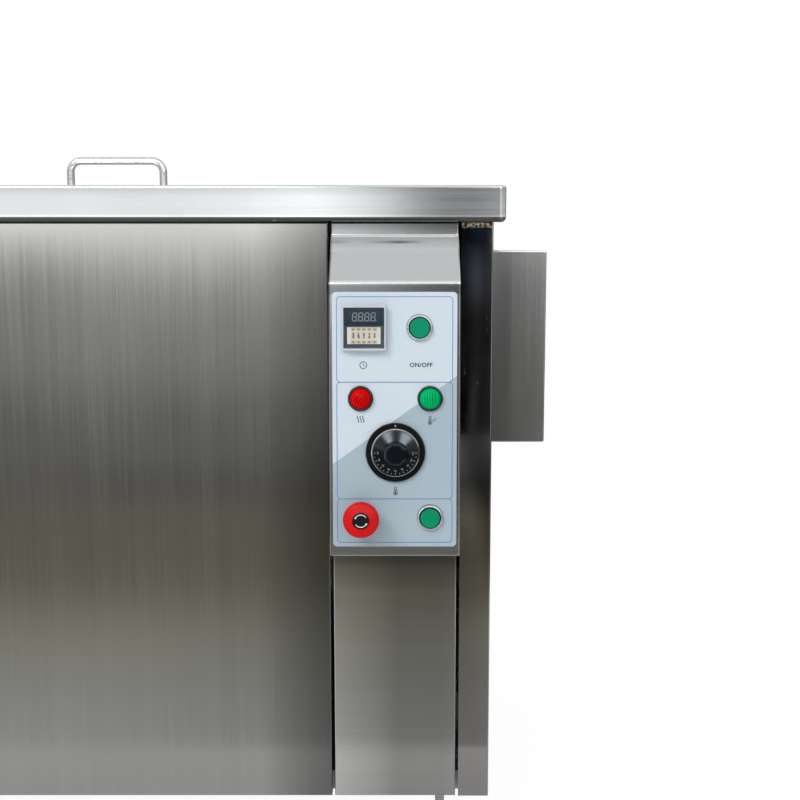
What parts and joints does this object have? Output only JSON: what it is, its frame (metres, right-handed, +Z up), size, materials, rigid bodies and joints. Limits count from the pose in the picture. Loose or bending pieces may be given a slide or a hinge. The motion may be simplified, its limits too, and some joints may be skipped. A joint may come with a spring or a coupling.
{
  "type": "heated ultrasonic cleaning tank",
  "caption": "Free-standing stainless cleaning tank with a folded rim, hinged lid and sloped control console with timer, thermostat dial, lamps and buttons.",
  "frame": {"origin": "on the floor under the middle of the outline, side box, console and drain valve included", "axes": "+Z up, the console and front face -Y, +X to the right seen from the front"},
  "size_m": [0.845, 0.7558, 0.89],
  "materials": {
    "rim_steel": "bright satin stainless",
    "tank_steel": "bright annealed stainless",
    "brushed_vertical": "brushed stainless, grain upright",
    "polished_side": "near-mirror stainless",
    "lid_steel": "brushed stainless",
    "galvanised_sheet": "zinc-coated sheet",
    "console_steel": "brushed stainless, grain level",
    "overlay_print": "screen-printed polycarbonate",
    "timer_black": "fine moulded",
    "display_glass": "smoked window",
    "clear_cover": "clear moulded plastic",
    "switch_beige": "moulded",
    "wheel_white": "moulded",
    "bezel_silver": "satin plated",
    "bezel_dark": "dark plated",
    "cap_green": "moulded",
    "lens_red": "ribbed translucent",
    "lens_green": "ribbed translucent",
    "stop_red": "moulded",
    "black_plastic": "moulded",
    "device_grey": "moulded",
    "turned_steel": "turned and polished",
    "valve_plate": "nickel plate",
    "drain_steel": "pickled tube",
    "horn_aluminium": "machined and extruded",
    "heater_rubber": "silicone mat"
  },
  "bodies": {
    "cabinet": {"top_rim": "rim_steel", "wash_tank": "tank_steel", "front_panel": "brushed_vertical", "side_box": "brushed_vertical", "side_box_cover": "brushed_vertical", "rear_panel": "brushed_vertical", "left_side_panel": "polished_side", "right_side_panel": "polished_side", "base_pan": "galvanised_sheet", "electrics_partition": "galvanised_sheet", "control_console": "console_steel", "service_cover": "console_steel", "facia_overlay": "overlay_print", "timer_case": "timer_black", "timer_window": "display_glass", "digit_switch_block": "switch_beige", "pushbutton_bezels": "bezel_silver", "lamp_bezels": "bezel_dark", "heater_lamp_lens": "lens_red", "ready_lamp_lens": "lens_green", "stop_collar": "black_plastic", "dial_ring": "black_plastic", "contact_blocks": "black_plastic", "thermostat_body": "black_plastic", "cable_gland": "black_plastic", "fan_frame": "black_plastic", "din_rail_devices": "device_grey", "levelling_feet": "turned_steel", "lid_hinge_bases": "turned_steel", "drain_valve_body": "valve_plate", "drain_pipe": "drain_steel", "transducers": "horn_aluminium", "ultrasonic_generator": "horn_aluminium", "tank_heaters": "heater_rubber"},
    "lid": {"lid_pan": "lid_steel", "lid_handle": "turned_steel", "lid_hinge_leaves": "turned_steel"},
    "on_off_cap": {"on_off_cap": "cap_green"},
    "start_cap": {"start_cap": "cap_green"},
    "stop_stem": {"stop_stem": "turned_steel"},
    "stop_head": {"stop_head": "stop_red"},
    "dial_knob": {"dial_knob": "black_plastic"},
    "timer_cover": {"timer_cover": "clear_cover"},
    "drain_lever": {"drain_lever": "valve_plate"},
    "fan_impeller": {"fan_impeller": "black_plastic"},
    "digit_wheel_1": {"digit_wheel_1": "wheel_white"},
    "digit_wheel_2": {"digit_wheel_2": "wheel_white"},
    "digit_wheel_3": {"digit_wheel_3": "wheel_white"},
    "digit_wheel_4": {"digit_wheel_4": "wheel_white"},
    "digit_wheel_5": {"digit_wheel_5": "wheel_white"},
    "plus_key_1": {"plus_key_1": "switch_beige"},
    "plus_key_2": {"plus_key_2": "switch_beige"},
    "plus_key_3": {"plus_key_3": "switch_beige"},
    "plus_key_4": {"plus_key_4": "switch_beige"},
    "plus_key_5": {"plus_key_5": "switch_beige"},
    "minus_key_1": {"minus_key_1": "switch_beige"},
    "minus_key_2": {"minus_key_2": "switch_beige"},
    "minus_key_3": {"minus_key_3": "switch_beige"},
    "minus_key_4": {"minus_key_4": "switch_beige"},
    "minus_key_5": {"minus_key_5": "switch_beige"}
  },
  "joints": [
    {"name": "lid_hinge", "type": "hinge", "parent": "cabinet", "child": "lid", "pos_m": [-0.128, 0.22324, 0.855], "axis": [-1, 0, 0], "range_deg": [0, 100]},
    {"name": "on_off_press", "type": "slide", "parent": "cabinet", "child": "on_off_cap", "axis": [0, 0.9993, -0.0375], "range_m": [0, 0.003], "stiffness_N_per_m": 600},
    {"name": "start_press", "type": "slide", "parent": "cabinet", "child": "start_cap", "axis": [0, 0.9993, -0.0375], "range_m": [0, 0.003], "stiffness_N_per_m": 600},
    {"name": "stop_press", "type": "slide", "parent": "cabinet", "child": "stop_stem", "axis": [0, 0.9993, -0.0375], "range_m": [0, 0.005]},
    {"name": "stop_twist", "type": "hinge", "parent": "stop_stem", "child": "stop_head", "pos_m": [0.19375, -0.34481, 0.46353], "axis": [0, 0.9993, -0.0375], "range_deg": [0, 45], "stiffness_Nm_per_rad": 0.1},
    {"name": "dial_turn", "type": "hinge", "parent": "cabinet", "child": "dial_knob", "pos_m": [0.23365, -0.34197, 0.53923], "axis": [0, 0.9993, -0.0375], "range_deg": [0, 270]},
    {"name": "timer_cover_flip", "type": "hinge", "parent": "cabinet", "child": "timer_cover", "pos_m": [0.19715, -0.33752, 0.71109], "axis": [-1, 0, 0], "range_deg": [0, 90]},
    {"name": "digit_wheel_1_turn", "type": "hinge", "parent": "cabinet", "child": "digit_wheel_1", "pos_m": [0.18475, -0.33423, 0.67604], "axis": [1, 0, 0], "continuous": true},
    {"name": "digit_wheel_2_turn", "type": "hinge", "parent": "cabinet", "child": "digit_wheel_2", "pos_m": [0.19095, -0.33423, 0.67604], "axis": [1, 0, 0], "continuous": true},
    {"name": "digit_wheel_3_turn", "type": "hinge", "parent": "cabinet", "child": "digit_wheel_3", "pos_m": [0.19715, -0.33423, 0.67604], "axis": [1, 0, 0], "continuous": true},
    {"name": "digit_wheel_4_turn", "type": "hinge", "parent": "cabinet", "child": "digit_wheel_4", "pos_m": [0.20335, -0.33423, 0.67604], "axis": [1, 0, 0], "continuous": true},
    {"name": "digit_wheel_5_turn", "type": "hinge", "parent": "cabinet", "child": "digit_wheel_5", "pos_m": [0.20955, -0.33423, 0.67604], "axis": [1, 0, 0], "continuous": true},
    {"name": "plus_key_1_press", "type": "slide", "parent": "cabinet", "child": "plus_key_1", "axis": [0, 0.9993, -0.0375], "range_m": [0, 0.0012], "stiffness_N_per_m": 150},
    {"name": "plus_key_2_press", "type": "slide", "parent": "cabinet", "child": "plus_key_2", "axis": [0, 0.9993, -0.0375], "range_m": [0, 0.0012], "stiffness_N_per_m": 150},
    {"name": "plus_key_3_press", "type": "slide", "parent": "cabinet", "child": "plus_key_3", "axis": [0, 0.9993, -0.0375], "range_m": [0, 0.0012], "stiffness_N_per_m": 150},
    {"name": "plus_key_4_press", "type": "slide", "parent": "cabinet", "child": "plus_key_4", "axis": [0, 0.9993, -0.0375], "range_m": [0, 0.0012], "stiffness_N_per_m": 150},
    {"name": "plus_key_5_press", "type": "slide", "parent": "cabinet", "child": "plus_key_5", "axis": [0, 0.9993, -0.0375], "range_m": [0, 0.0012], "stiffness_N_per_m": 150},
    {"name": "minus_key_1_press", "type": "slide", "parent": "cabinet", "child": "minus_key_1", "axis": [0, 0.9993, -0.0375], "range_m": [0, 0.0012], "stiffness_N_per_m": 150},
    {"name": "minus_key_2_press", "type": "slide", "parent": "cabinet", "child": "minus_key_2", "axis": [0, 0.9993, -0.0375], "range_m": [0, 0.0012], "stiffness_N_per_m": 150},
    {"name": "minus_key_3_press", "type": "slide", "parent": "cabinet", "child": "minus_key_3", "axis": [0, 0.9993, -0.0375], "range_m": [0, 0.0012], "stiffness_N_per_m": 150},
    {"name": "minus_key_4_press", "type": "slide", "parent": "cabinet", "child": "minus_key_4", "axis": [0, 0.9993, -0.0375], "range_m": [0, 0.0012], "stiffness_N_per_m": 150},
    {"name": "minus_key_5_press", "type": "slide", "parent": "cabinet", "child": "minus_key_5", "axis": [0, 0.9993, -0.0375], "range_m": [0, 0.0012], "stiffness_N_per_m": 150},
    {"name": "drain_lever_turn", "type": "hinge", "parent": "cabinet", "child": "drain_lever", "pos_m": [0.042, 0.33974, 0.384], "axis": [0, 0, 1], "range_deg": [0, 90]},
    {"name": "fan_spin", "type": "hinge", "parent": "cabinet", "child": "fan_impeller", "pos_m": [0.25125, 0.27374, 0.26], "axis": [0, 1, 0], "continuous": true}
  ]
}
